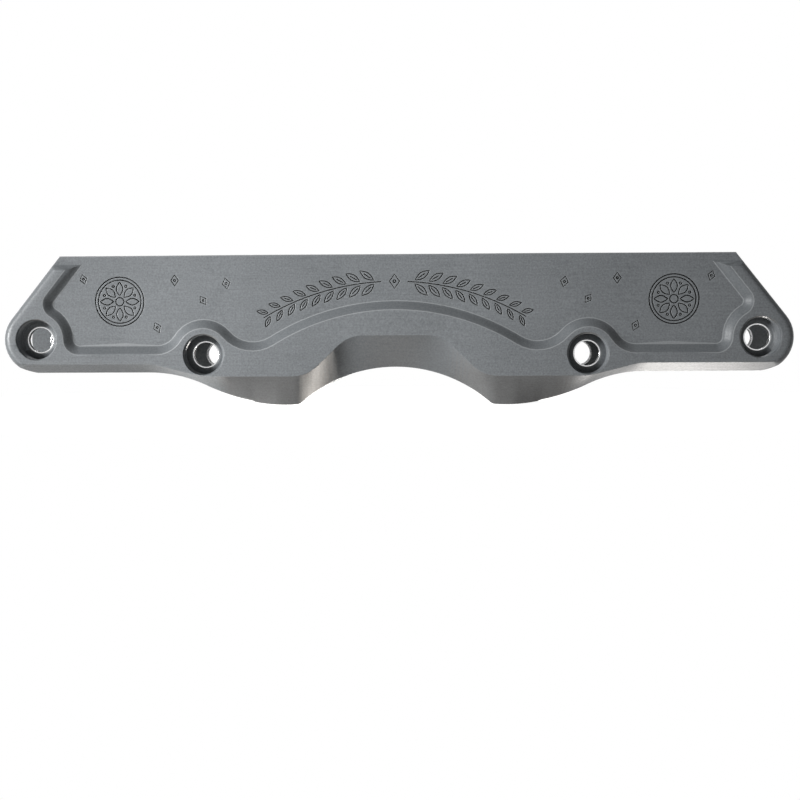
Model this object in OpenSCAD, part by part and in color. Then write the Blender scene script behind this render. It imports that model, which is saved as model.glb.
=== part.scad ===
// Frame for an aggressive inline skate, milled from one bar of polymer.
// X runs along the frame, Y across it, Z up. The origin is the middle of the boot bolts, on the deck.

/* [Axles] */
// Distance from the middle of the frame to each end axle
end_axle_x = 138.2; // [134:0.1:144]
// Depth of the end axles below the deck
end_axle_drop = 32.1; // [31.5:0.1:33.5]
// Distance from the middle of the frame to each inner axle
inner_axle_x = 73.5; // [71:0.1:75]
// Depth of the inner axles below the deck
inner_axle_drop = 38; // [36.5:0.1:39]
// Bore of the metal sleeve that carries the axle
axle_d = 9.4; // [8:0.1:9.6]
// Wall of the metal sleeve
sleeve_wall = 0.6; // [0.4:0.05:1]
// Chamfer at both mouths of the sleeve
sleeve_chamfer = 0.2; // [0.1:0.05:0.3]
// Gap between the sleeve and its bore
sleeve_fit = 0.02; // [0.01:0.01:0.05]
// Diameter of the recess for the axle's head
head_recess_d = 15; // [13.5:0.1:16]
// Distance between the floors of the two head recesses of one axle
head_seat_w = 31.2; // [29.5:0.1:34]
// Chamfer at the mouth of the head recess
head_chamfer = 0.5; // [0.3:0.05:0.8]

/* [Deck] */
// Length of the deck's top edge
deck_len = 258.6; // [252:0.1:262]
// Distance between the two boot bolts
bolt_spacing = 165; // [162:0.5:168]
// Diameter of the boot bolt holes
bolt_hole_d = 7.4; // [6.5:0.1:8]
// Diameter of the recess for the boot bolt's head
bolt_head_d = 13.8; // [12:0.1:14.4]
// Depth of the recess for the boot bolt's head
bolt_head_depth = 2.5; // [1:0.1:4]
// Length of the flat milled round each boot bolt
bolt_flat_len = 15; // [14.5:0.1:16]
// Width of the flat milled round each boot bolt
bolt_flat_w = 20; // [18:0.1:22]
// Depth of that flat below the deck
bolt_flat_drop = 10; // [8:0.1:11.5]
// Corner radius of that flat
bolt_flat_r = 4; // [2:0.1:6]
// Distance from the middle to the outer end of each deck block
block_outer_x = 116.4; // [115:0.1:119]
// Corner radius of the slot at the outer end of each deck block
block_corner_r = 8.5; // [6:0.1:11]
// Distance from the middle to the inner end of each deck block
block_inner_x = 68.8; // [67:0.1:71]
// Depth of the rib under each deck block
rib_drop = 20; // [18:0.1:22]
// Corner radius of the rib's lower face
rib_corner_r = 3.5; // [2:0.1:5]
// Height of the rib's rounded corners
rib_corner_depth = 4; // [2:0.1:6]

/* [Side outline] */
// Radius of the nose, about the end axle
nose_r = 13; // [12:0.1:14]
// Radius of the rounding along the nose's outer edge
nose_round_r = 3; // [2:0.1:3.5]
// Distance from the middle to the lowest point of each foot
foot_x = 43; // [41:0.1:45]
// Depth of the feet below the deck
foot_drop = 57.6; // [56:0.1:59]
// Radius of each foot's long underside
foot_r = 68; // [60:0.5:76]
// Radius of the foot's corner at the arch
toe_r = 3.5; // [2:0.1:5]
// Radius of the hollow where the foot runs out into the end
shoulder_r = 50; // [40:0.5:60]
// Radius of the grinding arch
arch_r = 55.5; // [53:0.1:58]
// Depth of the grinding arch's crown below the deck
arch_drop = 43; // [42:0.1:44.5]

/* [Width] */
// Width across the ends
end_w = 42.8; // [41:0.1:44]
// Width across the feet
foot_w = 45.6; // [44:0.1:47]
// Width across the middle
waist_w = 44.6; // [43:0.1:46]
// Half length of the middle, before it widens to the feet
waist_x = 20; // [16:0.5:24]
// Distance from the middle to where the feet reach their full width
foot_in_x = 36; // [32:0.5:40]
// Distance from the middle to where the feet leave their full width
foot_out_x = 58; // [54:0.5:64]
// Distance from the middle to where the ends begin
end_in_x = 104; // [100:0.5:110]
// Rounding of these changes of width
plan_round_r = 60; // [40:1:80]
// Gap between the walls, for the wheels
wheel_gap = 26; // [25:0.1:28]
// Radius of the wells for the end wheels
end_well_r = 31; // [30:0.1:32]
// Radius of the wells for the inner wheels
inner_well_r = 26; // [25:0.1:27]
// Half length of the grinding block, between the inner wheels
grind_block_x = 50.4; // [49:0.1:52]
// Corner radius of the milled gaps, seen from above
gap_corner_r = 6.5; // [5:0.1:8]

/* [Bevel] */
// Depth of the side face's lower edge at the ends
edge_end_drop = 41.6; // [40.5:0.1:42.5]
// Depth of the side face's lower edge at the feet
edge_foot_drop = 46.4; // [45:0.1:48]
// Depth of the side face's lower edge over the arch
edge_arch_drop = 30.9; // [29:0.1:33]
// Half length of the level edge over the arch
edge_arch_x = 17.6; // [16:0.1:19]
// Distance from the middle to where the edge reaches the feet
edge_foot_x = 33.6; // [32:0.1:36]
// Rounding of the edge at the arch
edge_round_r = 13; // [9:0.5:15]
// Distance from the middle to where the edge leaves the feet
edge_heel_x = 74; // [72:0.1:76]
// Distance from the middle to where the edge reaches the ends
edge_end_x = 93; // [91:0.1:95]
// Rounding of the edge between the feet and the ends
heel_round_r = 24; // [15:0.5:30]
// Width of the flat sole between the bevels of the grinding block
sole_w = 30.2; // [28:0.1:32]
// Half length over which the sole narrows to the walls
sole_taper = 5; // [3:0.1:8]

/* [Side panel] */
// Depth of the milled panel below the side face
panel_depth = 2.2; // [1.5:0.1:2.6]
// Width of the slope round the panel
slope_w = 3.7; // [3:0.1:4.2]
// Distance from the nose's straight edge to the panel
strip_w = 8.9; // [8:0.1:10]
// Depth of the strip's upper end below the deck
strip_drop = 3.3; // [2.5:0.1:5]
// Radius of the panel's edge round the end axles
end_boss_r = 13.9; // [13:0.1:14.5]
// Radius of the panel's edge round the inner axles
inner_boss_r = 13.5; // [12.8:0.1:14.2]
// Depth of the panel's level lower edge
panel_drop = 34.5; // [33:0.1:35]
// Radius of the panel's edge over the arch
panel_arch_r = 91; // [85:0.5:98]
// Depth of the panel's edge over the arch
panel_arch_drop = 17.7; // [17:0.1:20]
// Radius of the panel's corner at the nose
corner_r = 2; // [1.5:0.1:3]
// Radius of the panel's corner beside the end axle
end_fillet_r = 2.5; // [2:0.1:4]
// Radius of the panel's curve outside the inner axle
outer_fillet_r = 8; // [6:0.1:10]
// Radius of the panel's curve inside the inner axle
inner_fillet_r = 12; // [9:0.1:14]

/* [Hidden] */
$fn = 96;

// Longest step along a curve that is made of short straight pieces, and its widest turn from one to the next
step = 2.4;
turn = 12;
// Step of the bevel along the feet and round the toes, and its overrun past the faces that it joins
bevel_step = 1.6;
toe_step = 0.8;
bevel_over = 0.5;
// Distance by which the bevel passes under the walls' inner faces, so that no thin flat is left there
wall_foot_in = 0.4;
// Overrun of a cut past the faces that it opens
over = 5;
// Reach of the cuts beyond the object
far = 200;
tall = 2 * foot_drop;

sleeve_d = axle_d + 2 * sleeve_wall;
sleeve_bore_d = sleeve_d + 2 * sleeve_fit;
deck_half = deck_len / 2;
gap_half = wheel_gap / 2;
end_drop = end_axle_drop + nose_r;
end_axle = [end_axle_x, -end_axle_drop];
inner_axle = [inner_axle_x, -inner_axle_drop];
axles = [[-1, end_axle], [-1, inner_axle], [1, inner_axle], [1, end_axle]];

// The nose's straight edge touches the nose circle: its outward normal and its direction upwards
deck_corner = [deck_half, 0];
to_nose = end_axle - deck_corner;
nose_turn = atan2(to_nose.y, to_nose.x) + asin(nose_r / norm(to_nose)) + 90;
nose_out = [cos(nose_turn), sin(nose_turn)];
nose_up = [-sin(nose_turn), cos(nose_turn)];

// Section of the slope round the panel, as shares of its depth and width, and the same in millimetres:
// depth below the side face and distance outwards from the panel's edge. Both ends overrun the faces.
slope_shares = [[1.133, -0.341], [0.95, 0.056], [0.74, 0.29], [0.26, 0.658], [0.05, 0.892], [-0.182, 1.396]];
slope = [for (s = slope_shares) [panel_depth * s.x, slope_w * s.y]];

function angle_of(v) = let (a = atan2(v.y, v.x)) a < 0 ? a + 360 : a;
function left_turn(a, b) = b < a ? b + 360 : b;
function right_turn(a, b) = b > a ? b - 360 : b;
function polar(c, r, a) = c + r * [cos(a), sin(a)];
function leg(longest, other) = sqrt(longest * longest - other * other);

// Where two circles meet, on the left (1) or the right (-1) of the way from the first to the second
function meet(c1, r1, c2, r2, side) =
    let (d = norm(c2 - c1), u = (c2 - c1) / d, a = (r1 * r1 - r2 * r2 + d * d) / (2 * d))
    c1 + a * u + side * leg(r1, a) * [-u.y, u.x];

// Points of an arc, and of the same arc with its radius grown, at the same angles
function arc(c, r, from, to, grow = 0) =
    let (n = ceil(max(r * abs(to - from) * PI / 180 / step, abs(to - from) / turn)))
    [for (i = [0:n]) polar(c, r + grow, from + (to - from) * i / n)];

// Points round the corner q between p and s, with radius r
function corner(p, q, s, r) =
    let (u = (p - q) / norm(p - q), v = (s - q) / norm(s - q), half = acos(u * v) / 2,
         c = q + (u + v) / norm(u + v) * r / sin(half), a = angle_of(q + u * r / tan(half) - c),
         b = angle_of(q + v * r / tan(half) - c))
    arc(c, r, a, cross(q - p, s - q) > 0 ? left_turn(a, b) : right_turn(a, b));

// A line through points [x, y, r], with each inner point rounded by its own radius
function rounded_line(p) =
    let (n = len(p) - 1, at = [for (q = p) [q.x, q.y]])
    concat([at[0]], [for (i = [1:n - 1]) each corner(at[i - 1], at[i], at[i + 1], p[i].z)], [at[n]]);

// The same points without the ones that repeat their neighbour, where two arcs touch
least_step = 0.001;
function distinct(p) =
    [for (i = [0:len(p) - 1]) if (i == 0 || norm(p[i] - p[max(i - 1, 0)]) > least_step) p[i]];

function mirrored(half) = concat([for (i = [len(half) - 1:-1:1]) [-half[i].x, half[i].y]], half);

// Underside along the middle: arch, toe, foot, shoulder and level end, tangent to each other
arch_c = [0, -arch_drop - arch_r];
foot_c = [foot_x, foot_r - foot_drop];
toe_c = meet(arch_c, arch_r + toe_r, foot_c, foot_r - toe_r, -1);
shoulder_rise = foot_c.y + end_drop + shoulder_r;
shoulder_run = leg(foot_r + shoulder_r, shoulder_rise);
shoulder_c = [foot_x + shoulder_run, -end_drop - shoulder_r];
underside = concat(
    arc(arch_c, arch_r, 90, angle_of(toe_c - arch_c)),
    arc(toe_c, toe_r, angle_of(arch_c - toe_c), angle_of(toe_c - foot_c)),
    arc(foot_c, foot_r, angle_of(toe_c - foot_c), angle_of(shoulder_c - foot_c)),
    arc(shoulder_c, shoulder_r, angle_of(foot_c - shoulder_c), 90),
    [[far, -end_drop]]);

// Lower edge of the side face, half width and half width of the sole, all along the frame
side_edge = rounded_line([[0, -edge_arch_drop, 0], [edge_arch_x, -edge_arch_drop, edge_round_r],
    [edge_foot_x, -edge_foot_drop, edge_round_r], [edge_heel_x, -edge_foot_drop, heel_round_r],
    [edge_end_x, -edge_end_drop, heel_round_r], [far, -edge_end_drop, 0]]);
side_plan = rounded_line([[0, waist_w / 2, 0], [waist_x, waist_w / 2, plan_round_r],
    [foot_in_x, foot_w / 2, plan_round_r], [foot_out_x, foot_w / 2, plan_round_r],
    [end_in_x, end_w / 2, plan_round_r], [far, end_w / 2, 0]]);
wall_foot = gap_half - wall_foot_in;
sole_plan = [[0, sole_w / 2], [grind_block_x - sole_taper, sole_w / 2],
    [grind_block_x + sole_taper, wall_foot], [far, wall_foot]];

function half_width(x) = lookup(abs(x), side_plan);

// Edge of the panel from the crown of the arch to above the deck, grown outwards by grow
panel_arch_c = [0, -panel_arch_drop - panel_arch_r];
inner_fillet_c =
    meet(panel_arch_c, panel_arch_r + inner_fillet_r, inner_axle, inner_boss_r + inner_fillet_r, 1);
outer_fillet_y = outer_fillet_r - panel_drop;
outer_fillet_run = leg(inner_boss_r + outer_fillet_r, outer_fillet_y - inner_axle.y);
outer_fillet_c = [inner_axle.x + outer_fillet_run, outer_fillet_y];
end_fillet_y = end_fillet_r - panel_drop;
end_fillet_run = leg(end_boss_r + end_fillet_r, end_fillet_y - end_axle.y);
end_fillet_c = [end_axle.x - end_fillet_run, end_fillet_y];
corner_in = nose_r - strip_w - corner_r;
corner_c = end_axle + corner_in * nose_out + leg(end_boss_r + corner_r, corner_in) * nose_up;

// An arc between two neighbours: bosses turn right and shrink as the edge grows, fillets turn left
function boss_arc(before, c, after, r, grow) =
    let (a = angle_of(before - c)) arc(c, r, a, right_turn(a, angle_of(after - c)), -grow);
function fillet_arc(before, c, after, r, grow) =
    let (a = angle_of(before - c)) arc(c, r, a, left_turn(a, angle_of(after - c)), grow);

function panel_edge(grow) =
    let (below = [0, -1],
         lower = distinct(concat(
             arc(panel_arch_c, panel_arch_r, 90, angle_of(inner_fillet_c - panel_arch_c), -grow),
             fillet_arc(panel_arch_c, inner_fillet_c, inner_axle, inner_fillet_r, grow),
             boss_arc(inner_fillet_c, inner_axle, outer_fillet_c, inner_boss_r, grow),
             fillet_arc(inner_axle, outer_fillet_c, outer_fillet_c + below, outer_fillet_r, grow),
             fillet_arc(end_fillet_c + below, end_fillet_c, end_axle, end_fillet_r, grow),
             boss_arc(end_fillet_c, end_axle, corner_c, end_boss_r, grow),
             fillet_arc(end_axle, corner_c, corner_c + nose_out, corner_r, grow))),
         last = lower[len(lower) - 1])
    concat(lower, [last + nose_up * (over - last.y) / nose_up.y]);

// A closed skin over rings of points, each with as many points as the next
module skin(rings) {
    n = len(rings[0]);
    m = len(rings);
    sides = [for (k = [0:m - 2]) for (i = [0:n - 1]) let (a = k * n + i, b = k * n + (i + 1) % n)
        each [[a, b, b + n], [a, b + n, a + n]]];
    first = [for (i = [n - 1:-1:0]) i];
    last = [for (i = [0:n - 1]) (m - 1) * n + i];
    polyhedron([for (ring = rings) each ring], concat(sides, [first, last]));
}

module upright(from, to) {
    translate([0, 0, from]) linear_extrude(to - from) children();
}

module crosswise(w) {
    rotate([90, 0, 0]) linear_extrude(w, center = true) children();
}

module cross_cylinder(at, d, from, to) {
    translate([at.x, to, at.y]) rotate([90, 0, 0]) cylinder(d = d, h = to - from);
}

module both_ends() {
    children();
    mirror([1, 0, 0]) children();
}

module both_sides() {
    children();
    mirror([0, 1, 0]) children();
}

// Bar stock cut to the side outline, with its round noses, and to the width along the frame
module blank() {
    w = foot_w + 2 * over;
    lower = mirrored([for (p = underside) if (p.x < end_axle_x) p]);
    tip = end_axle + nose_r * nose_out;
    intersection() {
        union() {
            crosswise(w) polygon(concat(lower,
                [[end_axle.x, -end_drop], end_axle, tip, deck_corner, [-deck_half, 0],
                 [-tip.x, tip.y], [-end_axle.x, end_axle.y], [-end_axle.x, -end_drop]]));
            both_ends() cross_cylinder(end_axle, 2 * nose_r, -w / 2, w / 2);
        }
        upright(-tall, over) polygon(concat(mirrored(side_plan),
            [for (i = [len(side_plan) - 1:-1:1]) [side_plan[i].x, -side_plan[i].y]],
            [for (p = side_plan) [-p.x, -p.y]]));
    }
}

// Cut that bevels the underside of one wall, from the sole up to the lower edge of the side face
module bevel_cut() {
    reach = deck_half + nose_r + 2 * over;
    toe_in = toe_c.x - 2 * toe_r;
    toe_out = toe_c.x + 2 * toe_r;
    half = concat([for (x = [0:bevel_step:toe_in]) x], [for (x = [toe_in + toe_step:toe_step:toe_out]) x],
        [for (x = [toe_out + bevel_step:bevel_step:reach]) x]);
    skin([for (x = concat([for (i = [len(half) - 1:-1:1]) -half[i]], half))
        let (y0 = lookup(abs(x), sole_plan), y1 = half_width(x),
             z0 = lookup(abs(x), underside), z1 = lookup(abs(x), side_edge), rise = (z1 - z0) / (y1 - y0))
        [[x, y0 - bevel_over, z0 - bevel_over * rise], [x, y1 + bevel_over, z1 + bevel_over * rise],
         [x, y1 + bevel_over, -tall], [x, y0 - bevel_over, -tall]]]);
}

// Space outside the panel's own plane, on one side
module above_panel() {
    inner = mirrored([for (p = side_plan) [p.x, p.y - panel_depth]]);
    upright(-tall, 2 * over) polygon(concat(inner, [[far, 2 * foot_w], [-far, 2 * foot_w]]));
}

// Milled panel of one side, with the slope round it and the slope at the top of each nose strip
module panel_cut() {
    rings = [for (s = slope) [for (p = mirrored(panel_edge(s.y))) [p.x, half_width(p.x) - s.x, p.y]]];
    n = len(slope) - 1;
    level = [for (p = rings[0]) [p.x, gap_half, p.z]];
    outside = [for (p = rings[n]) [p.x, foot_w, p.z]];
    side_y = end_w / 2;
    strip_end_x = deck_half - strip_w - over;
    run = over + panel_depth;
    intersection() {
        above_panel();
        union() {
            skin(concat([level], rings, [outside]));
            both_ends() translate([strip_end_x, 0, -strip_drop]) rotate([90, 0, 90]) linear_extrude(far)
                polygon([[side_y - run, over], [side_y - run, run - panel_depth],
                         [side_y + over, -run], [side_y + over, 2 * over]]);
        }
    }
}

// Cut that rounds the outer edge of one nose in short flats, round its circle and up its straight edge
round_flats = 4;
function round_point(i) = nose_round_r * [cos(90 * i / round_flats) - 1, sin(90 * i / round_flats) - 1];

module nose_round_section() {
    start = 2 * round_point(0) - round_point(1);
    end = 2 * round_point(round_flats) - round_point(round_flats - 1);
    flats = [for (i = [1:round_flats - 1]) round_point(i)];
    r = nose_round_r;
    polygon(concat([start], flats, [end, [end.x, r], [r, r], [r, start.y]]));
}

module nose_round_cut() {
    overlap = 0.5;
    below = 100;
    translate([end_axle.x, end_w / 2, end_axle.y]) rotate([90, 0, 0]) mirror([0, 0, 1]) {
        rotate(-below) rotate_extrude(angle = below + nose_turn) translate([nose_r, 0]) nose_round_section();
        rotate(nose_turn) translate([nose_r, -overlap, 0]) rotate([90, 0, 0]) mirror([0, 0, 1])
            linear_extrude(2 * end_axle_drop) nose_round_section();
    }
}

// Gap seen from above, from x = from outwards, with its inner corners rounded
module gap_plan(from, r = gap_corner_r) {
    translate([from + r, -gap_half]) square([far, wheel_gap]);
    translate([from, r - gap_half]) square([2 * r, wheel_gap - 2 * r]);
    for (s = [-1, 1]) translate([from + r, s * (gap_half - r)]) circle(r);
}

module rounded_box(len, w, r) {
    square([len - 2 * r, w], center = true);
    square([len, w - 2 * r], center = true);
    for (x = [-1, 1], y = [-1, 1]) translate([x * (len / 2 - r), y * (w / 2 - r)]) circle(r);
}

// Everything milled out between the walls of one end
module wheel_space() {
    rib_in = inner_axle.x + leg(inner_well_r, inner_axle_drop - rib_drop);
    rib_out = end_axle.x - leg(end_well_r, end_axle_drop - rib_drop);
    rib_len = rib_out - rib_in;
    neck_len = block_inner_x - grind_block_x;
    upright(-tall, -rib_drop) gap_plan(grind_block_x);
    cross_cylinder(end_axle, 2 * end_well_r, -gap_half, gap_half);
    intersection() {
        cross_cylinder(inner_axle, 2 * inner_well_r, -gap_half, gap_half);
        upright(-tall, over) gap_plan(grind_block_x);
    }
    upright(-tall, over) gap_plan(block_outer_x, block_corner_r);
    translate([grind_block_x + neck_len / 2, 0])
        upright(-tall, over) rounded_box(neck_len, wheel_gap, gap_corner_r);
    translate([rib_in + rib_len / 2, 0]) upright(-rib_drop - over, rib_corner_depth - rib_drop) difference() {
        square([rib_len, wheel_gap], center = true);
        rounded_box(rib_len, wheel_gap, rib_corner_r);
    }
    translate([bolt_spacing / 2, 0]) {
        upright(-rib_drop - over, -bolt_flat_drop) rounded_box(bolt_flat_len, bolt_flat_w, bolt_flat_r);
        upright(-rib_drop, bolt_head_depth - bolt_flat_drop) circle(d = bolt_head_d);
        upright(-rib_drop, over) circle(d = bolt_hole_d);
    }
}

// Bore for one sleeve, with the recess for the axle's head and its chamfered mouth
module axle_cut(at) {
    mouth = half_width(at.x);
    deep = head_chamfer + over / 2;
    wide = deep + over;
    r0 = head_recess_d / 2 - over / 2;
    cross_cylinder(at, sleeve_bore_d, gap_half - over, foot_w);
    cross_cylinder(at, head_recess_d, head_seat_w / 2, foot_w);
    translate([at.x, mouth - deep, at.y]) rotate([-90, 0, 0]) cylinder(r1 = r0, r2 = r0 + wide, h = wide);
}

module frame_body() {
    color("#757a7d") difference() {
        blank();
        both_sides() {
            bevel_cut();
            panel_cut();
            both_ends() {
                nose_round_cut();
                axle_cut(end_axle);
                axle_cut(inner_axle);
            }
        }
        both_ends() wheel_space();
    }
}

// Thin metal sleeve pressed into one wall: axle number from 1 to 4, side 1 for left and -1 for right
module axle_sleeve(number, side) {
    at = axles[number - 1];
    len = head_seat_w / 2 - gap_half;
    r0 = axle_d / 2;
    r1 = sleeve_d / 2;
    c = sleeve_chamfer;
    color("#c4c6c8") translate([at[0] * at[1].x, side * gap_half, at[1].y]) rotate([-90 * side, 0, 0])
        rotate_extrude() polygon([[r0 + c, 0], [r1, 0], [r1, len], [r0 + c, len], [r0, len - c], [r0, c]]);
}

frame_body();
axle_sleeve(1, 1);  // axle_1_left_sleeve
axle_sleeve(1, -1);  // axle_1_right_sleeve
axle_sleeve(2, 1);  // axle_2_left_sleeve
axle_sleeve(2, -1);  // axle_2_right_sleeve
axle_sleeve(3, 1);  // axle_3_left_sleeve
axle_sleeve(3, -1);  // axle_3_right_sleeve
axle_sleeve(4, 1);  // axle_4_left_sleeve
axle_sleeve(4, -1);  // axle_4_right_sleeve
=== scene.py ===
"""Milled polymer skate frame with metal axle sleeves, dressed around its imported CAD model."""

import logging
import math
import random
from dataclasses import dataclass, field
from enum import Enum
from typing import Any

import bmesh
import bpy
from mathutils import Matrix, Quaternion, Vector
from mathutils.kdtree import KDTree


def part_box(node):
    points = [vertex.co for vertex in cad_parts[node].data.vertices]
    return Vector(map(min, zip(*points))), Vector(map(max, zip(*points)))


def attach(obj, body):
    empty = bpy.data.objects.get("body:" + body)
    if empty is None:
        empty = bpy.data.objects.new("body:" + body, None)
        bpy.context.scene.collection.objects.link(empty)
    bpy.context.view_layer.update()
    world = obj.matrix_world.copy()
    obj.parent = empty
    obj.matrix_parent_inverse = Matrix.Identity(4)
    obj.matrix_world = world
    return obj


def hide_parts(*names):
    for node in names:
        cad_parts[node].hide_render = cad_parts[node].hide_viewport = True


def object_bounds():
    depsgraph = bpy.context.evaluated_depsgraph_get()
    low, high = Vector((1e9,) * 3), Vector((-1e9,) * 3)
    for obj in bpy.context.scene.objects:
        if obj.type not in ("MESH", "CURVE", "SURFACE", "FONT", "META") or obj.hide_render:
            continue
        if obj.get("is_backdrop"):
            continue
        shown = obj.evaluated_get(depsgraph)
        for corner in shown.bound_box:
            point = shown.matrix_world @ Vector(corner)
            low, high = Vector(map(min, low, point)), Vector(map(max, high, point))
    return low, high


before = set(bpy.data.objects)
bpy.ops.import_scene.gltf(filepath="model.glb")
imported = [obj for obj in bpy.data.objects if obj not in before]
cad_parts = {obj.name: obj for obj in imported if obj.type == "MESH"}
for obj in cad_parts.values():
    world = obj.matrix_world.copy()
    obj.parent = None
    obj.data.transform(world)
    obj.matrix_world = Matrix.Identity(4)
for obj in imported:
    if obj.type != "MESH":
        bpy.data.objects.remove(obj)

LOG = logging.getLogger("skate_frame")
MM = 0.001
ROOT = "root"
UPRIGHT = 90.0
HALF_TURN = 180.0
FULL_TURN = 360.0
SAME_POINT = 1e-6
WHOLE = (0.0, 1.0)
MIX_FACTOR, MIX_FIRST, MIX_SECOND, MIX_RESULT = 0, 6, 7, 2

Point = tuple[float, float]
Span = tuple[float, float]
Window = tuple[float, float, float, float]
Colour = tuple[float, float, float]
Spot = tuple[float, float, float]
Socket = bpy.types.NodeSocket
Tree = bpy.types.NodeTree


class Side(Enum):
    """The two sides of the frame, by the sign of Y."""

    RIGHT = -1
    LEFT = 1


class TreeSketch:
    """Adds the nodes of one node tree and links them."""

    def __init__(self, tree: Tree) -> None:
        """Keeps the tree that the nodes go into."""
        self.tree = tree

    def feed(self, node: bpy.types.Node, values: dict[Any, Any]) -> None:
        """Fills a node's inputs.

        Args:
            node: The node.
            values: Inputs by name or index: a socket is linked, anything else is set.
        """
        for key, value in values.items():
            if isinstance(value, Socket):
                self.tree.links.new(value, node.inputs[key])
            else:
                node.inputs[key].default_value = value

    def add(self, kind: str, values: dict[Any, Any] | None = None, **settings: Any) -> bpy.types.Node:
        """Adds one node.

        Args:
            kind: The node's Blender type.
            values: Inputs by name or index, as feed takes them.
            settings: Properties of the node itself.

        Returns:
            The new node.
        """
        node = self.tree.nodes.new(kind)
        for name, value in settings.items():
            setattr(node, name, value)
        self.feed(node, values or {})
        return node

    def out(self, kind: str, values: dict[Any, Any] | None = None, **settings: Any) -> Socket:
        """Adds one node as add does, and returns its first output."""
        return self.add(kind, values, **settings).outputs[0]

    def math(self, operation: str, a: Any, b: Any = 0.0, clamp: bool = False) -> Socket:
        """Adds a Math node in either kind of tree and returns its output."""
        return self.out("ShaderNodeMath", {0: a, 1: b}, operation=operation, use_clamp=clamp)

    def blend(self, *parts: tuple[Socket, float]) -> Socket:
        """Adds up values by their weights, clamped to between 0 and 1.

        Args:
            parts: Each value's socket with its weight.

        Returns:
            The socket with the sum.
        """
        total, *others = [self.math("MULTIPLY", value, weight) for value, weight in parts]
        for other in others:
            total = self.math("ADD", total, other, clamp=True)
        return total

    def noise(self, place: Socket, scale: Any, detail: Span) -> Socket:
        """Adds a noise texture.

        Args:
            place: Socket with the coordinates.
            scale: Features per metre, as a socket or a number.
            detail: Number of finer layers, and their strength.

        Returns:
            The socket with the noise's value.
        """
        layers, strength = detail
        keys = {"Vector": place, "Scale": scale, "Detail": layers, "Roughness": strength}
        return self.out("ShaderNodeTexNoise", keys)

    def spread(self, value: Socket, source: Span, target: Span = WHOLE) -> Socket:
        """Maps a range of values to another one, clamped at both ends.

        Args:
            value: Socket with the value.
            source: The two values that become the ends of the target.
            target: The results at those two values.

        Returns:
            The socket with the result.
        """
        keys = {"Value": value, "From Min": source[0], "From Max": source[1],
                "To Min": target[0], "To Max": target[1]}
        return self.out("ShaderNodeMapRange", keys)

    def within(self, value: Socket, window: Window) -> Socket:
        """Masks the values in the middle of a window, fading out towards its two ends."""
        low, above, below, high = window
        return self.math("MULTIPLY", self.spread(value, (low, above)), self.spread(value, (high, below)))

    def tint(self, factor: Any, first: Any, second: Any) -> Socket:
        """Mixes two colours, each a socket or plain numbers, and returns the result's socket."""
        a, b = ((*shown, 1.0) if isinstance(shown, tuple) else shown for shown in (first, second))
        keys = {MIX_FACTOR: factor, MIX_FIRST: a, MIX_SECOND: b}
        return self.add("ShaderNodeMix", keys, data_type="RGBA").outputs[MIX_RESULT]

    def facing(self) -> Any:
        """Adds the X, Y and Z of the face's own normal, as sockets by name."""
        normal = self.add("ShaderNodeNewGeometry").outputs["True Normal"]
        return self.add("ShaderNodeSeparateXYZ", {0: normal}).outputs

    def seen_ray(self) -> Socket:
        """Adds a mask of the rays that show the surroundings: from the camera, a reflection or glass."""
        path = self.add("ShaderNodeLightPath").outputs
        seen = self.math("MAXIMUM", path["Is Camera Ray"], path["Is Glossy Ray"])
        return self.math("MAXIMUM", seen, path["Is Transmission Ray"])


def new_group(name: str, kind: str, inputs: dict[str, Any], outputs: dict[str, str]) -> TreeSketch:
    """Makes a node group with named sockets.

    Args:
        name: The group's name.
        kind: ShaderNodeTree or GeometryNodeTree.
        inputs: Socket type, or socket type and first value, by input name.
        outputs: Socket type by output name.

    Returns:
        A sketch of the group's tree.
    """
    tree = bpy.data.node_groups.new(name, kind)
    for label, made in inputs.items():
        socket_type, value = made if isinstance(made, tuple) else (made, None)
        socket = tree.interface.new_socket(label, in_out="INPUT", socket_type=socket_type)
        if value is not None:
            socket.default_value = value
    for label, socket_type in outputs.items():
        tree.interface.new_socket(label, in_out="OUTPUT", socket_type=socket_type)
    return TreeSketch(tree)


def new_material(name: str) -> tuple[bpy.types.Material, TreeSketch, bpy.types.Node]:
    """Makes a material with one Principled shader.

    Args:
        name: The material's name.

    Returns:
        The material, a sketch of its tree, and the shader.
    """
    material = bpy.data.materials.new(name)
    material.use_nodes = True
    tree = material.node_tree
    return material, TreeSketch(tree), tree.nodes["Principled BSDF"]


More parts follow.
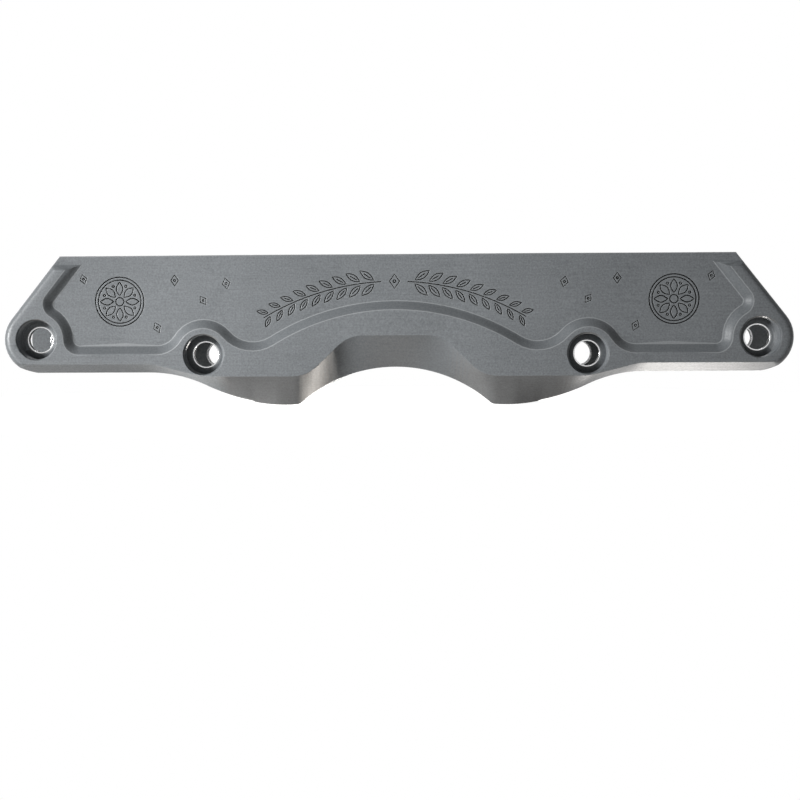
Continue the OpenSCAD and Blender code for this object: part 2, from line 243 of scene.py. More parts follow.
@dataclass(frozen=True)
class MilledGrain:
    """Fine grain that a cutter leaves in polymer or metal, with its scales in features per metre."""

    speckle_scale: float = 1500.0
    streak_scale: float = 1800.0
    mottle_scale: float = 40.0
    speckle_detail: Span = (3.0, 0.62)
    broad_detail: Span = (2.0, 0.5)
    stretch: Spot = (0.035, 1.0, 1.0)
    contrast: Span = (0.3, 0.7)
    speckle_height: float = 0.65
    streak_height: float = 0.35

    def group(self) -> Tree:
        """Builds the shared group.

        Returns:
            The group: speckle, streaks along X, broad mottling and a height for bump.
        """
        sketch = new_group(
            "milled_grain", "ShaderNodeTree",
            {"Speckle Scale": ("NodeSocketFloat", self.speckle_scale),
             "Streak Scale": ("NodeSocketFloat", self.streak_scale),
             "Mottle Scale": ("NodeSocketFloat", self.mottle_scale)},
            dict.fromkeys(("Speckle", "Streak", "Mottle", "Height"), "NodeSocketFloat"))
        given = sketch.add("NodeGroupInput").outputs
        place = sketch.add("ShaderNodeTexCoord").outputs["Object"]
        along = sketch.out("ShaderNodeVectorMath", {0: place, 1: self.stretch}, operation="MULTIPLY")
        layers = {"Speckle": (place, self.speckle_detail), "Streak": (along, self.broad_detail),
                  "Mottle": (place, self.broad_detail)}
        made = {name: sketch.spread(sketch.noise(at, given[f"{name} Scale"], detail), self.contrast)
                for name, (at, detail) in layers.items()}
        made["Height"] = sketch.blend((made["Speckle"], self.speckle_height),
                                      (made["Streak"], self.streak_height))
        sketch.add("NodeGroupOutput", made)
        return sketch.tree


@dataclass(frozen=True)
class EdgeWearAndShade:
    """Masks along outer edges, painted pale as wear and as highlights, and in corners, where shade is
    painted.
    """

    edge_width: float = 0.6 * MM
    corner_reach: float = 5.0 * MM
    # Spread of the mask of pale wear and painted highlights along outer edges.
    worn_from: Span = (0.95, 0.5)
    # How open a corner is, mapped to how much shade is painted into it.
    sheltered_from: Span = (0.95, 0.35)
    samples: int = 8

    def group(self) -> Tree:
        """Builds the shared group.

        Returns:
            The group, with a mask of outer edges, painted pale as wear and as highlights, and a mask of
            corners for painted shade.
        """
        sketch = new_group(
            "edge_wear", "ShaderNodeTree",
            {"Edge Width": ("NodeSocketFloat", self.edge_width),
             "Corner Reach": ("NodeSocketFloat", self.corner_reach)},
            dict.fromkeys(("Worn", "Sheltered"), "NodeSocketFloat"))
        given = sketch.add("NodeGroupInput").outputs
        inner = sketch.add("ShaderNodeAmbientOcclusion", {"Distance": given["Edge Width"]},
                           inside=True, only_local=True, samples=self.samples).outputs["AO"]
        outer = sketch.add("ShaderNodeAmbientOcclusion", {"Distance": given["Corner Reach"]},
                           only_local=True, samples=self.samples).outputs["AO"]
        sketch.add("NodeGroupOutput", {"Worn": sketch.spread(inner, self.worn_from),
                                       "Sheltered": sketch.spread(outer, self.sheltered_from)})
        return sketch.tree


@dataclass(frozen=True)
class PolymerFinish:
    """Satin grey polymer, finely milled, with painted highlights and painted shade.

    Its edges are paler from wear and painted highlights, its panel rims have painted highlights, and its
    corners, slopes and bevels have painted shade. The windows named facing are shares of Y in a face's
    normal, apart from the one that picks the faces looking down for the warmer painted bevel shade, which is
    a share of Z.
    """

    dark: Colour = (0.108, 0.116, 0.123)
    pale: Colour = (0.214, 0.228, 0.239)
    speckle: float = 0.65
    streak: float = 0.2
    mottle: float = 0.15
    # Painted shade in corners and recesses, and its share.
    sheltered: Colour = (0.06, 0.064, 0.067)
    corner_shade_share: float = 0.65
    # Pale colour for wear and painted highlights along outer edges, and for the painted highlights on the
    # panel rims.
    pale_edge_sheen: Colour = (0.34, 0.352, 0.36)
    worn_sheen_share: float = 0.55
    # Painted highlights along the narrow rims round the panels, picked by how far their faces tilt off the
    # sides.
    rim_highlight_share: float = 0.45
    rim_highlight_facing: Window = (0.93, 0.945, 0.97, 0.98)
    # Painted shade on slopes, and warmer painted shade on the bevels that look down.
    painted_slope_shade: Colour = (0.078, 0.086, 0.092)
    lower: Colour = (0.1, 0.09, 0.08)
    bevel_shade_facing: Span = (-0.42, -0.55)
    slope_shade_share: float = 0.45
    slope_shade_facing: Window = (0.5, 0.6, 0.89, 0.92)
    rough_range: Span = (0.1, 0.9)
    roughness: Span = (0.5, 0.36)
    # Reflection strength in the open and in corners, where it is dimmed along with the painted shade.
    specular: Span = (0.32, 0.06)
    edge_radius: float = 0.4 * MM
    edge_samples: int = 6
    bump: float = 0.24
    bump_depth: float = 0.05 * MM

    def material(self, grain: Tree, wear: Tree) -> bpy.types.Material:
        """Makes the material.

        Args:
            grain: The shared group of milled grain.
            wear: The shared group of masks for pale wear and painted highlights along outer edges, and
                painted shade in corners.

        Returns:
            The polymer material.
        """
        material, sketch, shader = new_material("milled_polymer")
        grained = sketch.add("ShaderNodeGroup", node_tree=grain).outputs
        wear_and_shade_masks = sketch.add("ShaderNodeGroup", node_tree=wear).outputs
        fine = sketch.blend((grained["Speckle"], self.speckle), (grained["Streak"], self.streak),
                            (grained["Mottle"], self.mottle))
        facing = sketch.facing()
        across = sketch.math("ABSOLUTE", facing["Y"])
        # Painted shade: faces tilted off the sides get a darker colour, warmer where they look down.
        slope_shade = sketch.tint(sketch.spread(facing["Z"], self.bevel_shade_facing), self.painted_slope_shade, self.lower)
        # Layers: painted shade in corners, pale wear with painted highlights along outer edges, painted shade
        # on slopes and bevels, and painted highlights on the panel rims.
        layers = ((wear_and_shade_masks["Sheltered"], self.corner_shade_share, self.sheltered),
                  (wear_and_shade_masks["Worn"], self.worn_sheen_share, self.pale_edge_sheen),
                  (sketch.within(across, self.slope_shade_facing), self.slope_shade_share, slope_shade),
                  (sketch.within(across, self.rim_highlight_facing), self.rim_highlight_share, self.pale_edge_sheen))
        colour = sketch.tint(fine, self.dark, self.pale)
        for mask, share, shown in layers:
            colour = sketch.tint(sketch.math("MULTIPLY", mask, share), colour, shown)
        rounded = sketch.out("ShaderNodeBevel", {"Radius": self.edge_radius}, samples=self.edge_samples)
        bump = sketch.out("ShaderNodeBump", {"Strength": self.bump, "Distance": self.bump_depth,
                                             "Height": grained["Height"], "Normal": rounded})
        # The painted corner shade also dims the reflections in corners.
        sketch.feed(shader, {"Base Color": colour, "Normal": bump,
                             "Roughness": sketch.spread(fine, self.rough_range, self.roughness),
                             "Specular IOR Level": sketch.spread(wear_and_shade_masks["Sheltered"], WHOLE, self.specular)})
        return material


@dataclass(frozen=True)
class GrooveFinish:
    """Dark, dull floor of an engraved line."""

    dark: Colour = (0.004, 0.004, 0.004)
    pale: Colour = (0.016, 0.017, 0.018)
    roughness: Span = (0.7, 0.9)
    specular: float = 0.1
    speckle_scale: float = 3000.0

    def material(self, grain: Tree) -> bpy.types.Material:
        """Makes the material.

        Args:
            grain: The shared group of milled grain.

        Returns:
            The material of the engraved lines.
        """
        material, sketch, shader = new_material("engraved_groove")
        scale = {"Speckle Scale": self.speckle_scale}
        grained = sketch.add("ShaderNodeGroup", scale, node_tree=grain).outputs
        sketch.feed(shader, {"Base Color": sketch.tint(grained["Speckle"], self.dark, self.pale),
                             "Roughness": sketch.spread(grained["Streak"], WHOLE, self.roughness),
                             "Specular IOR Level": self.specular})
        return material


@dataclass(frozen=True)
class SleeveFinish:
    """Turned metal with fine rings round the axle's line, bright at its lips, with painted shade in its bore.
    """

    dark: Colour = (0.56, 0.565, 0.57)
    pale: Colour = (0.8, 0.805, 0.81)
    # Near-black painted shade in the bore, on the faces round the axle's line, which are also made rougher.
    bore: Colour = (0.03, 0.031, 0.032)
    bore_shade_facing: Span = (0.3, 0.1)
    bore_roughness: float = 0.7
    rough_range: Span = (0.2, 0.8)
    roughness: Span = (0.2, 0.34)
    ring_scale: float = 9000.0
    ring_detail: float = 2.0
    ring_share: float = 0.7
    speckle_scale: float = 2500.0
    speckle_share: float = 0.3
    bump: float = 0.2
    bump_depth: float = 0.02 * MM

    def material(self, grain: Tree) -> bpy.types.Material:
        """Makes the material.

        Args:
            grain: The shared group of milled grain.

        Returns:
            The metal of the axle sleeves.
        """
        material, sketch, shader = new_material("turned_sleeve_metal")
        place = sketch.add("ShaderNodeTexCoord").outputs["Object"]
        across = sketch.add("ShaderNodeSeparateXYZ", {0: place}).outputs["Y"]
        steps = sketch.math("MULTIPLY", across, self.ring_scale)
        rings = sketch.out("ShaderNodeTexNoise", {"W": steps, "Scale": 1.0, "Detail": self.ring_detail},
                           noise_dimensions="1D")
        scale = {"Speckle Scale": self.speckle_scale}
        grained = sketch.add("ShaderNodeGroup", scale, node_tree=grain).outputs
        turned = sketch.blend((rings, self.ring_share), (grained["Speckle"], self.speckle_share))
        bump = sketch.out("ShaderNodeBump", {"Strength": self.bump, "Distance": self.bump_depth,
                                             "Height": rings})
        # Painted shade in the bore: the faces round the axle's line get a near-black, rougher finish.
        bore_shade = sketch.spread(sketch.math("ABSOLUTE", sketch.facing()["Y"]), self.bore_shade_facing)
        colour = sketch.tint(bore_shade, sketch.tint(turned, self.dark, self.pale), self.bore)
        rough = sketch.math("MAXIMUM", sketch.spread(turned, self.rough_range, self.roughness),
                            sketch.math("MULTIPLY", bore_shade, self.bore_roughness))
        sketch.feed(shader, {"Base Color": colour, "Metallic": 1.0, "Roughness": rough, "Normal": bump})
        return material


def new_object(name: str, mesh: bpy.types.Mesh) -> bpy.types.Object:
    """Puts a mesh in the scene as an object at the origin."""
    made = bpy.data.objects.new(name, mesh)
    bpy.context.scene.collection.objects.link(made)
    return made


def line_mesh(name: str, lines: list[list[Point]]) -> bpy.types.Mesh:
    """Makes a mesh of bare edges from lines in the XZ plane.

    Args:
        name: The mesh's name.
        lines: Points of each line, in millimetres; a line that ends at its first point is closed.

    Returns:
        The mesh, in metres.
    """
    points: list[Spot] = []
    edges: list[tuple[int, int]] = []
    for line in lines:
        closed = math.dist(line[0], line[-1]) < SAME_POINT
        kept = line[:-1] if closed else line
        first = len(points)
        points += [(x * MM, 0.0, z * MM) for x, z in kept]
        edges += [(first + i, first + i + 1) for i in range(len(kept) - 1)]
        if closed:
            edges.append((first + len(kept) - 1, first))
    mesh = bpy.data.meshes.new(name)
    mesh.from_pydata(points, edges, [])
    return mesh


def frozen_mesh(made: bpy.types.Object, name: str) -> bpy.types.Mesh:
    """Turns an object with its modifiers into a plain mesh.

    Args:
        made: The object, whose modifiers are then removed.
        name: Name of the new mesh.

    Returns:
        The plain mesh.
    """
    bpy.context.view_layer.update()
    evaluated = made.evaluated_get(bpy.context.evaluated_depsgraph_get())
    mesh = bpy.data.meshes.new_from_object(evaluated)
    mesh.name = name
    made.modifiers.clear()
    return mesh


def shade_smooth(mesh: bpy.types.Mesh, sharp_angle: float) -> None:
    """Shades a mesh smooth, apart from the edges that turn by more than an angle in degrees."""
    mesh.polygons.foreach_set("use_smooth", [True] * len(mesh.polygons))
    mesh.set_sharp_from_angle(angle=math.radians(sharp_angle))


def run_tree(made: bpy.types.Object, tree: Tree, values: dict[str, Any]) -> bpy.types.Mesh:
    """Runs a Geometry Nodes tree on an object.

    Args:
        made: The object, which keeps no modifier.
        tree: The tree.
        values: The tree's inputs by name.

    Returns:
        The result as a plain mesh with the object's name.
    """
    modifier = made.modifiers.new(tree.name, "NODES")
    modifier.node_group = tree
    sockets = tree.interface.items_tree
    ids = {s.name: s.identifier for s in sockets if s.item_type == "SOCKET" and s.in_out == "INPUT"}
    for name, value in values.items():
        modifier[ids[name]] = value
    return frozen_mesh(made, made.name)


def end_tree(sketch: TreeSketch, shape: Socket, finish: Socket) -> Tree:
    """Ends a Geometry Nodes tree with real geometry and its material.

    Args:
        sketch: Sketch of the tree.
        shape: Socket with the geometry.
        finish: Socket with the material.

    Returns:
        The finished tree.
    """
    solid = sketch.out("GeometryNodeRealizeInstances", {"Geometry": shape})
    dressed = sketch.out("GeometryNodeSetMaterial", {"Geometry": solid, "Material": finish})
    sketch.add("NodeGroupOutput", {"Geometry": dressed})
    return sketch.tree


def groove_tree() -> Tree:
    """Builds the tree that lays a motif at many places on a side and turns its lines into thin rods.

    Returns:
        The tree. Its geometry is points with the attributes turn and size; its inputs are the motif's
        lines, the body that they lie on, the way to it, and the rods' radius, facets and material.
    """
    sketch = new_group(
        "engraved_lines", "GeometryNodeTree",
        {"Geometry": "NodeSocketGeometry", "Motif": "NodeSocketObject", "Body": "NodeSocketObject",
         "Inwards": "NodeSocketVector", "Reach": ("NodeSocketFloat", 200.0 * MM),
         "Radius": ("NodeSocketFloat", 0.2 * MM), "Facets": ("NodeSocketInt", 6),
         "Finish": "NodeSocketMaterial"},
        {"Geometry": "NodeSocketGeometry"})
    given = sketch.add("NodeGroupInput").outputs
    motif = sketch.add("GeometryNodeObjectInfo", {"Object": given["Motif"]}).outputs["Geometry"]
    body = sketch.add("GeometryNodeObjectInfo", {"Object": given["Body"]}).outputs["Geometry"]
    turn = sketch.out("GeometryNodeInputNamedAttribute", {"Name": "turn"}, data_type="FLOAT")
    size = sketch.out("GeometryNodeInputNamedAttribute", {"Name": "size"}, data_type="FLOAT")
    rotation = sketch.out("FunctionNodeEulerToRotation", {0: sketch.out("ShaderNodeCombineXYZ", {"Y": turn})})
    placed = sketch.out("GeometryNodeInstanceOnPoints", {"Points": given["Geometry"], "Instance": motif,
                                                         "Rotation": rotation, "Scale": size})
    lines = sketch.out("GeometryNodeRealizeInstances", {"Geometry": placed})
    cast = sketch.add("GeometryNodeRaycast", {"Target Geometry": body, "Ray Length": given["Reach"],
                                              "Ray Direction": given["Inwards"]}).outputs
    laid = sketch.out("GeometryNodeSetPosition", {"Geometry": lines, "Selection": cast["Is Hit"],
                                                  "Position": cast["Hit Position"]})
    curves = sketch.out("GeometryNodeMeshToCurve", {0: laid})
    ring = sketch.out("GeometryNodeCurvePrimitiveCircle", {"Resolution": given["Facets"],
                                                           "Radius": given["Radius"]})
    rods = sketch.out("GeometryNodeCurveToMesh", {"Curve": curves, "Profile Curve": ring, "Fill Caps": True})
    return end_tree(sketch, rods, given["Finish"])


def sleeve_tree() -> Tree:
    """Builds the tree that turns one axle sleeve: a rounded section swept round the axle's line.

    Returns:
        The tree, with the sleeve's radii, length, lip, facets, place and material as inputs.
    """
    sizes = dict.fromkeys(("Bore Radius", "Outer Radius", "Length", "Lip"), "NodeSocketFloat")
    sketch = new_group(
        "turned_sleeve", "GeometryNodeTree",
        {"Geometry": "NodeSocketGeometry", **sizes, "Facets": ("NodeSocketInt", 96),
         "Lip Facets": ("NodeSocketInt", 4), "Centre": "NodeSocketVector", "Finish": "NodeSocketMaterial"},
        {"Geometry": "NodeSocketGeometry"})
    given = sketch.add("NodeGroupInput").outputs
    bore, outer = given["Bore Radius"], given["Outer Radius"]
    middle = sketch.math("MULTIPLY", sketch.math("ADD", bore, outer), 0.5)
    wall = sketch.math("SUBTRACT", outer, bore)
    path = sketch.out("GeometryNodeCurvePrimitiveCircle", {"Resolution": given["Facets"], "Radius": middle})
    section = sketch.out("GeometryNodeCurvePrimitiveQuadrilateral", {"Width": wall,
                                                                     "Height": given["Length"]})
    rounded = sketch.out("GeometryNodeFilletCurve", {"Curve": section, "Radius": given["Lip"],
                                                     "Count": given["Lip Facets"]}, mode="POLY")
    ring = sketch.out("GeometryNodeCurveToMesh", {"Curve": path, "Profile Curve": rounded})
    placed = sketch.out("GeometryNodeTransform", {"Geometry": ring, "Translation": given["Centre"],
                                                  "Rotation": (math.pi / 2, 0.0, 0.0)})
    return end_tree(sketch, placed, given["Finish"])


@dataclass(frozen=True)
class Place:
    """One place of a motif on the side panel, in millimetres and radians."""

    x: float
    z: float
    turn: float = 0.0
    size: float = 1.0


@dataclass
class Motif:
    """One engraved motif: its lines about its own origin, and the places that it has on one side."""

    name: str
    lines: list[list[Point]]
    places: list[Place]
    outside: float = 40.0

    def cutter(self, side: Side, body: bpy.types.Object, tree: Tree, radius: float,
               finish: bpy.types.Material) -> bpy.types.Object:
        """Makes the rods that cut this motif into one side.

        Args:
            side: The side of the frame.
            body: The body that the lines lie on.
            tree: The tree of engraved lines.
            radius: The rods' radius, in metres.
            finish: Material of the cut.

        Returns:
            The rods, as one object.
        """
        motif = new_object(f"{self.name}_lines", line_mesh(f"{self.name}_lines", self.lines))
        points = bpy.data.meshes.new(f"{self.name}_places")
        y = side.value * self.outside * MM
        points.from_pydata([(p.x * MM, y, p.z * MM) for p in self.places], [], [])
        for key in ("turn", "size"):
            values = points.attributes.new(key, "FLOAT", "POINT")
            values.data.foreach_set("value", [getattr(p, key) for p in self.places])
        made = new_object(f"{self.name}_{side.name.lower()}", points)
        mesh = run_tree(made, tree, {"Motif": motif, "Body": body, "Inwards": (0.0, -float(side.value), 0.0),
                                     "Radius": radius, "Finish": finish})
        bpy.data.objects.remove(made)
        bpy.data.objects.remove(motif)
        return new_object(mesh.name, mesh)


def arc(centre: Point, radius: float, start: float, end: float, count: int) -> list[Point]:
    """Lists points along an arc, with its angles in degrees."""
    steps = [math.radians(start + (end - start) * i / count) for i in range(count + 1)]
    return [(centre[0] + radius * math.cos(a), centre[1] + radius * math.sin(a)) for a in steps]


def circle(radius: float, count: int, x: float = 0.0) -> list[Point]:
    """Lists points round a whole circle, whose centre may lie along X."""
    return arc((x, 0.0), radius, 0.0, FULL_TURN, count)


def almond(length: float, width: float, count: int, start: float = 0.0) -> list[Point]:
    """Lists the closed outline of a pointed leaf along +X.

    Args:
        length: Length from tip to tip.
        width: Greatest width.
        count: Steps along each side.
        start: Distance of the first tip from the origin.

    Returns:
        The outline's points, the last one the same as the first.
    """
    there = [(start + length * i / count, width / 2 * math.sin(math.pi * i / count))
             for i in range(count + 1)]
    return there + [(x, -z) for x, z in reversed(there[:-1])]


@dataclass
class Engraving:
    """Leaf garland over the arch, a rosette at each end and small lozenges between them.

    Sizes are in millimetres and degrees. Shares are of the leaf's length or of the rosette's radius.
    """

    line_radius: float = 0.22
    arch_centre: float = -108.7
    stem_radius: float = 98.4
    stem_angles: Span = (2.9, 30.6)
    stem_steps: int = 40
    leaf_length: float = 6.4
    leaf_width: float = 2.3
    leaf_steps: int = 12
    leaf_count: int = 9
    leaf_start: float = 0.55
    leaf_lean: float = 38.0
    leaf_gap: float = 0.75
    leaf_taper: float = 0.35
    rib_shares: tuple[float, ...] = (0.22, 0.45, 0.7)
    rosette_x: float = 106.0
    rosette_z: float = -17.5
    rosette_radius: float = 9.4
    ring_shares: tuple[tuple[float, int], ...] = ((1.0, 72), (0.88, 64), (0.17, 16))
    petal_count: int = 8
    petal_length_share: float = 0.55
    petal_width_share: float = 0.27
    petal_start_share: float = 0.25
    dot_place_share: float = 0.68
    dot_share: float = 0.045
    dot_steps: int = 8
    lozenges: tuple[Place, ...] = (
        Place(0.0, -10.3, 0.0, 1.3),
        Place(84.5, -9.5),
        Place(91.5, -27.5, 0.4),
        Place(64.5, -10.8, 0.2),
        Place(73.5, -17.2, 0.6, 0.9),
        Place(120.0, -8.8, 0.3, 0.9),
    )
    lozenge_half: Point = (1.45, 2.1)
    lozenge_dot: float = 0.4

    def motifs(self) -> list[Motif]:
        """Lists all motifs of one side."""
        return [*self.garland(), *self.rosette(), self.small_lozenges()]

    def leaf_place(self, index: int, hand: int, out: int) -> Place:
        """Finds the place of one leaf of the garland.

        Args:
            index: Number of its pair, counted from the garland's middle.
            hand: 1 on the stem towards +X, -1 on the other.
            out: 1 above the stem, -1 below it.

        Returns:
            The leaf's place, turn and size.
        """
        low, high = self.stem_angles
        angle = low + (high - low) * (index + self.leaf_start) / self.leaf_count
        along = math.radians(UPRIGHT - hand * angle)
        radius = self.stem_radius + out * self.leaf_gap
        heading = angle * hand - out * hand * self.leaf_lean
        turn = math.radians(heading if hand > 0 else heading + HALF_TURN)
        size = 1.0 - self.leaf_taper * index / self.leaf_count
        return Place(radius * math.cos(along), self.arch_centre + radius * math.sin(along), turn, size)

    def garland(self) -> list[Motif]:
        """Lists the stems, and the leaves with their ribs."""
        low, high = self.stem_angles
        middle = (0.0, self.arch_centre)
        stems = [arc(middle, self.stem_radius, UPRIGHT - hand * low, UPRIGHT - hand * high, self.stem_steps)
                 for hand in (1, -1)]
        leaves = [self.leaf_place(i, hand, out)
                  for hand in (1, -1) for i in range(self.leaf_count) for out in (1, -1)]
        leaf = almond(self.leaf_length, self.leaf_width, self.leaf_steps)
        rib = [(self.leaf_length * share, 0.0) for share in self.rib_shares]
        return [Motif("garland_stem", stems, [Place(0.0, 0.0)]), Motif("garland_leaf", [leaf, rib], leaves)]

    def rosette(self) -> list[Motif]:
        """Lists the rings, petals and dots of both rosettes."""
        r = self.rosette_radius
        centres = [(s * self.rosette_x, self.rosette_z) for s in (1, -1)]
        rings = [circle(r * share, count) for share, count in self.ring_shares]
        step = 2 * math.pi / self.petal_count
        petals = [Place(x, z, i * step) for x, z in centres for i in range(self.petal_count)]
        between = [Place(x, z, (i + 0.5) * step) for x, z in centres for i in range(self.petal_count)]
        petal = almond(r * self.petal_length_share, r * self.petal_width_share, self.leaf_steps,
                       r * self.petal_start_share)
        dot = circle(r * self.dot_share, self.dot_steps, r * self.dot_place_share)
        return [Motif("rosette_ring", rings, [Place(x, z) for x, z in centres]),
                Motif("rosette_petal", [petal], petals),
                Motif("rosette_dot", [dot], between)]

    def small_lozenges(self) -> Motif:
        """Lists the small lozenges, each with a dot in it, the same on both halves of a side."""
        a, b = self.lozenge_half
        outline = [(a, 0.0), (0.0, b), (-a, 0.0), (0.0, -b), (a, 0.0)]
        dot = circle(self.lozenge_dot, self.dot_steps)
        mirrored = [Place(-p.x, p.z, -p.turn, p.size) for p in self.lozenges if p.x]
        return Motif("small_lozenge", [outline, dot], [*self.lozenges, *mirrored])


@dataclass
class FrameBody:
    """The milled polymer body: the CAD solid's own shape, smooth shaded, with engraved lines cut in.

    The normals of the walls and bevels are evened. The windows named facing are shares of Y in a face's
    normal; level_facing is the most of Z there, and strip_from keeps the nose strips out of it.
    """

    node: str = "frame_body"
    slot: str = "polymer"
    merge_distance: float = 0.002 * MM
    flat_angle: float = 0.02
    sharp_angle: float = 24.0
    wall_facing: Span = (0.985, 1.1)
    bevel_facing: Span = (0.1, 0.95)
    level_facing: float = 0.05
    strip_from: Point = (110.0 * MM, -36.0 * MM)
    normal_reach: float = 2.0 * MM
    spot_area: float = 0.25 * MM * MM
    spot_seed: int = 7
    alike: float = 0.7
    own_weight: float = 0.01
    engraving: Engraving = field(default_factory=Engraving)

    def build(self, polymer: bpy.types.Material, groove: bpy.types.Material) -> bpy.types.Object:
        """Builds the body in place of its CAD node.

        Args:
            polymer: Material of the body.
            groove: Material of the engraved lines.

        Returns:
            The body.
        """
        body = new_object("milled_body", self.merged_copy())
        body.data.materials.clear()
        body.data.materials.append(polymer)
        self.engrave(body, groove)
        self.smooth(body)
        for facing in (self.wall_facing, self.bevel_facing):
            self.even_normals(body.data, facing)
        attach(body, ROOT)
        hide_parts(self.node)
        return body

    def merged_copy(self) -> bpy.types.Mesh:
        """Copies the CAD node's mesh with its points merged and its flat faces joined."""
        mesh = bpy.data.meshes.new("milled_body")
        sketch = bmesh.new()
        sketch.from_mesh(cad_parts[self.node].data)
        bmesh.ops.remove_doubles(sketch, verts=sketch.verts, dist=self.merge_distance)
        bmesh.ops.dissolve_limit(sketch, angle_limit=math.radians(self.flat_angle),
                                 use_dissolve_boundaries=False, verts=sketch.verts, edges=sketch.edges)
        sketch.to_mesh(mesh)
        sketch.free()
        return mesh

    def engrave(self, body: bpy.types.Object, groove: bpy.types.Material) -> None:
        """Cuts the engraved lines into both sides of the body.

        Args:
            body: The body, whose mesh is changed.
            groove: Material of the lines.
        """
        tree = groove_tree()
        cutters = [motif.cutter(side, body, tree, self.engraving.line_radius * MM, groove)
                   for side in Side for motif in self.engraving.motifs()]
        for cutter in cutters:
            cut = body.modifiers.new(cutter.name, "BOOLEAN")
            cut.operation = "DIFFERENCE"
            cut.solver = "MANIFOLD"
            cut.material_mode = "TRANSFER"
            cut.object = cutter
        body.data = frozen_mesh(body, "milled_body")
        for cutter in cutters:
            bpy.data.objects.remove(cutter)

    def smooth(self, body: bpy.types.Object) -> None:
        """Shades the body smooth between its sharp edges, with the large faces kept flat."""
        shade_smooth(body.data, self.sharp_angle)
        weighted = body.modifiers.new("flat_faces", "WEIGHTED_NORMAL")
        weighted.keep_sharp = True
        body.data = frozen_mesh(body, "milled_body")

    def even_normals(self, mesh: bpy.types.Mesh, facing: Span) -> None:
        """Averages the normals over faces alike, whose long thin facets would shade in streaks.

        Args:
            mesh: The body's mesh, whose corner normals are set.
            facing: Least and greatest share of Y in the normals of the faces meant, which face down
                or sideways.
        """
        low, high = facing
        strip_x, strip_z = self.strip_from
        faces = {p.index: p.normal.copy() for p in mesh.polygons
                 if low < abs(p.normal.y) < high and p.normal.z < self.level_facing
                 and not (abs(p.center.x) > strip_x and p.center.z > strip_z)}
        spots = self.scattered(mesh, faces)
        near = KDTree(len(spots))
        for index, (place, _) in enumerate(spots):
            near.insert(place, index)
        near.balance()
        normals = [n.vector.copy() for n in mesh.corner_normals]
        for face, own in faces.items():
            for loop in mesh.polygons[face].loop_indices:
                total = own * self.own_weight
                at = mesh.vertices[mesh.loops[loop].vertex_index].co
                for _, index, away in near.find_range(at, self.normal_reach):
                    other = faces[spots[index][1]]
                    if other.dot(own) > self.alike:
                        total = total + other * (1 - (away / self.normal_reach) ** 2)
                normals[loop] = total.normalized()
        mesh.normals_split_custom_set(normals)

    def scattered(self, mesh: bpy.types.Mesh, faces: dict[int, Vector]) -> list[tuple[Vector, int]]:
        """Scatters points evenly over some faces.

        Args:
            mesh: The body's mesh.
            faces: Normals of the faces, by their index.

        Returns:
            Each point, with its face's index.
        """
        mesh.calc_loop_triangles()
        chance = random.Random(self.spot_seed)
        spots = []
        for triangle in mesh.loop_triangles:
            if triangle.polygon_index in faces:
                a, b, c = (mesh.vertices[v].co for v in triangle.vertices)
                for _ in range(math.ceil(triangle.area / self.spot_area)):
                    root, share = math.sqrt(chance.random()), chance.random()
                    place = a * (1 - root) + b * root * (1 - share) + c * root * share
                    spots.append((place, triangle.polygon_index))
        return spots


@dataclass
class AxleSleeve:
    """One thin metal sleeve, pressed into one wall of the body."""

    node: str
    slot: str = "sleeve_metal"
    wall: float = 0.6 * MM
    lip: float = 0.18 * MM
    sharp_angle: float = 50.0

    def build(self, tree: Tree, metal: bpy.types.Material) -> bpy.types.Object:
        """Builds the sleeve in place of its CAD node.

        Args:
            tree: The tree of turned sleeves.
            metal: Material of the sleeve.

        Returns:
            The sleeve.
        """
        low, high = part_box(self.node)
        outer = (high.x - low.x) / 2
        made = new_object(f"{self.node}_turned", bpy.data.meshes.new(self.node))
        made.data = run_tree(made, tree, {"Bore Radius": outer - self.wall, "Outer Radius": outer,
                                          "Length": high.y - low.y, "Lip": self.lip,
                                          "Centre": (low + high) / 2, "Finish": metal})
        shade_smooth(made.data, self.sharp_angle)
        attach(made, ROOT)
        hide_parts(self.node)
        return made


@dataclass(frozen=True)
class Lamp:
    """One soft lamp, in metres, watts and degrees."""

    name: str
    at: Spot
    towards: Spot
    size: Span
    power: float
    spread: float = HALF_TURN
    colour: Colour = (1.0, 1.0, 1.0)


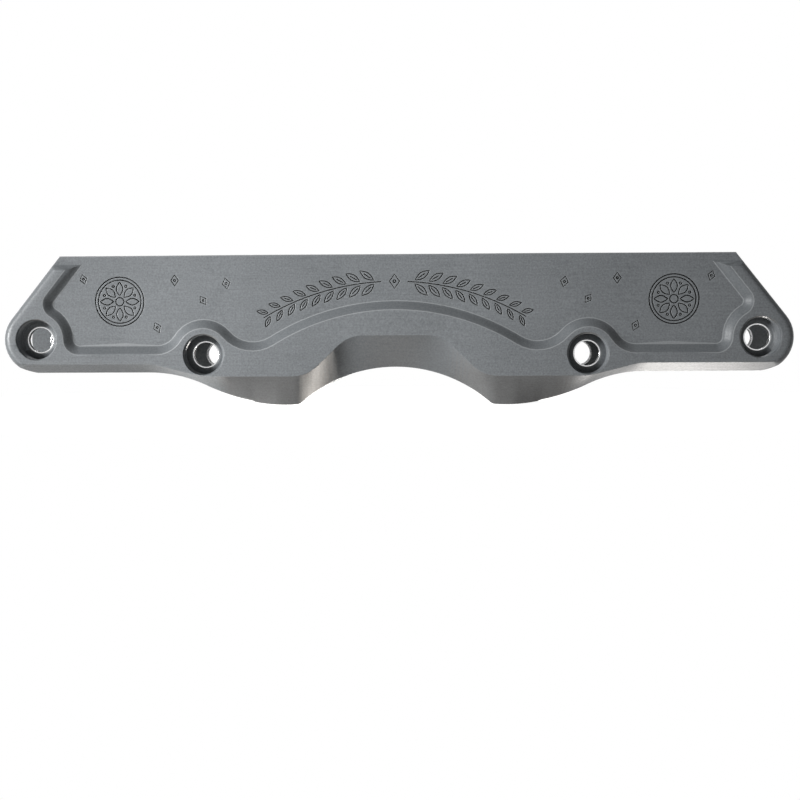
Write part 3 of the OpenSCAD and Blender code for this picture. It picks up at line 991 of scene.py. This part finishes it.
@dataclass
class Studio:
    """Pale floor, white surroundings, soft lamps and the camera."""

    lens: float = 56.22
    sensor: float = 36.0
    clip_start: float = 10.0 * MM
    camera_at: Spot = (19.0 * MM, -497.6 * MM, -35.0 * MM)
    camera_yaw: float = -2.054
    camera_pitch: float = -2.475
    camera_roll: float = -0.236
    floor_half: float = 30.0
    floor_gap: float = 0.1 * MM
    floor_colour: Colour = (0.8, 0.78, 0.75)
    floor_glow: float = 0.94
    near_radius: Span = (0.15, 0.21)
    white: float = 1.0
    world_light: float = 0.06
    lamps: tuple[Lamp, ...] = (
        Lamp("key_lamp", (-0.66, -0.39, 0.03), (0.0, 0.0, -0.03), (0.16, 0.16), 0.3, 26.0),
        Lamp("back_lamp", (0.0, 0.6, 0.0), (0.0, 0.0, -0.03), (0.5, 0.12), 2.5),
        Lamp("deck_lamp", (0.0, 0.34, 0.5), (0.0, 0.0, 0.0), (0.4, 0.1), 0.14, 40.0),
        Lamp("table_lamp", (0.135, 0.13, -0.21), (0.122, -0.017, -0.043), (0.08, 0.02), 0.0095, 24.0,
             (1.0, 0.96, 0.92)),
        Lamp("right_lamp", (0.285, 0.235, -0.335), (-0.04, -0.015, -0.05), (0.03, 0.03), 0.036, 7.0,
             (1.0, 0.94, 0.87)),
    )

    def build(self, floor_height: float) -> None:
        """Makes the floor, the world, the lamps and the camera.

        Args:
            floor_height: Lowest point of the object.
        """
        self.make_floor(floor_height - self.floor_gap)
        self.make_world()
        for lamp in self.lamps:
            self.make_lamp(lamp)
        self.make_camera()

    def make_floor(self, height: float) -> None:
        """Makes the floor, white where it is seen, with the object's shadow near the object."""
        half = self.floor_half
        corners = ((-half, -half), (half, -half), (half, half), (-half, half))
        mesh = bpy.data.meshes.new("floor")
        mesh.from_pydata([(x, y, height) for x, y in corners], [], [(0, 1, 2, 3)])
        floor = new_object("floor", mesh)
        material, sketch, shader = new_material("pale_floor")
        tree = sketch.tree
        tree.nodes.remove(shader)
        plain = sketch.out("ShaderNodeBsdfDiffuse", {"Color": (*self.floor_colour, 1.0)})
        glow = sketch.out("ShaderNodeEmission", {"Strength": self.floor_glow})
        white = sketch.out("ShaderNodeEmission", {"Strength": self.white})
        place = sketch.add("ShaderNodeTexCoord").outputs["Object"]
        away = sketch.add("ShaderNodeVectorMath", {0: place}, operation="LENGTH").outputs["Value"]
        far = sketch.spread(away, self.near_radius)
        near = sketch.out("ShaderNodeAddShader", {0: plain, 1: glow})
        shown = sketch.out("ShaderNodeMixShader", {0: far, 1: near, 2: white})
        above = sketch.out("ShaderNodeMixShader", {0: sketch.seen_ray(), 1: plain, 2: shown})
        below = sketch.add("ShaderNodeNewGeometry").outputs["Backfacing"]
        clear = sketch.out("ShaderNodeBsdfTransparent")
        surface = sketch.out("ShaderNodeMixShader", {0: below, 1: above, 2: clear})
        sketch.feed(tree.nodes["Material Output"], {"Surface": surface})
        mesh.materials.append(material)
        floor.visible_shadow = False
        floor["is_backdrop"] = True

    def make_world(self) -> None:
        """Makes the surroundings: white where they are seen, a plain soft light otherwise."""
        world = bpy.data.worlds.new("studio")
        world.use_nodes = True
        bpy.context.scene.world = world
        sketch = TreeSketch(world.node_tree)
        strength = sketch.spread(sketch.seen_ray(), WHOLE, (self.world_light, self.white))
        background = world.node_tree.nodes["Background"]
        sketch.feed(background, {"Color": (1.0, 1.0, 1.0, 1.0), "Strength": strength})

    def make_lamp(self, lamp: Lamp) -> None:
        """Makes one lamp, out of the camera's sight."""
        light = bpy.data.lights.new(lamp.name, "AREA")
        light.shape = "RECTANGLE"
        light.size, light.size_y = lamp.size
        light.energy = lamp.power
        light.spread = math.radians(lamp.spread)
        light.color = lamp.colour
        made = bpy.data.objects.new(lamp.name, light)
        bpy.context.scene.collection.objects.link(made)
        made.location = lamp.at
        made.rotation_mode = "QUATERNION"
        made.rotation_quaternion = (Vector(lamp.towards) - Vector(lamp.at)).to_track_quat("-Z", "Y")
        made.visible_camera = False

    def make_camera(self) -> None:
        """Makes the camera at the photograph's viewing angle."""
        data = bpy.data.cameras.new("camera")
        data.lens = self.lens
        data.sensor_width = self.sensor
        data.clip_start = self.clip_start
        made = bpy.data.objects.new("camera", data)
        bpy.context.scene.collection.objects.link(made)
        made.location = self.camera_at
        made.rotation_mode = "QUATERNION"
        yaw, pitch = math.radians(self.camera_yaw), math.radians(self.camera_pitch)
        level = math.cos(pitch)
        along = Vector((math.sin(yaw) * level, math.cos(yaw) * level, math.sin(pitch)))
        aim = along.to_track_quat("-Z", "Y")
        made.rotation_quaternion = aim @ Quaternion((0.0, 0.0, 1.0), math.radians(self.camera_roll))
        bpy.context.scene.camera = made


def main() -> None:
    """Builds the frame's pieces and the studio."""
    logging.basicConfig(level=logging.INFO, format="%(name)s: %(message)s")
    cad_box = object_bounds()
    bpy.context.scene.view_settings.view_transform = "Standard"
    grain, wear = MilledGrain().group(), EdgeWearAndShade().group()
    polymer = PolymerFinish().material(grain, wear)
    groove = GrooveFinish().material(grain)
    metal = SleeveFinish().material(grain)
    body = FrameBody().build(polymer, groove)
    LOG.info("%s: %d faces", body.name, len(body.data.polygons))
    turned = sleeve_tree()
    for node in sorted(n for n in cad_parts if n.endswith("_sleeve")):
        sleeve = AxleSleeve(node).build(turned, metal)
        LOG.info("%s: %d faces", sleeve.name, len(sleeve.data.polygons))
    Studio().build(cad_box[0].z)


if __name__ == "__main__":
    main()
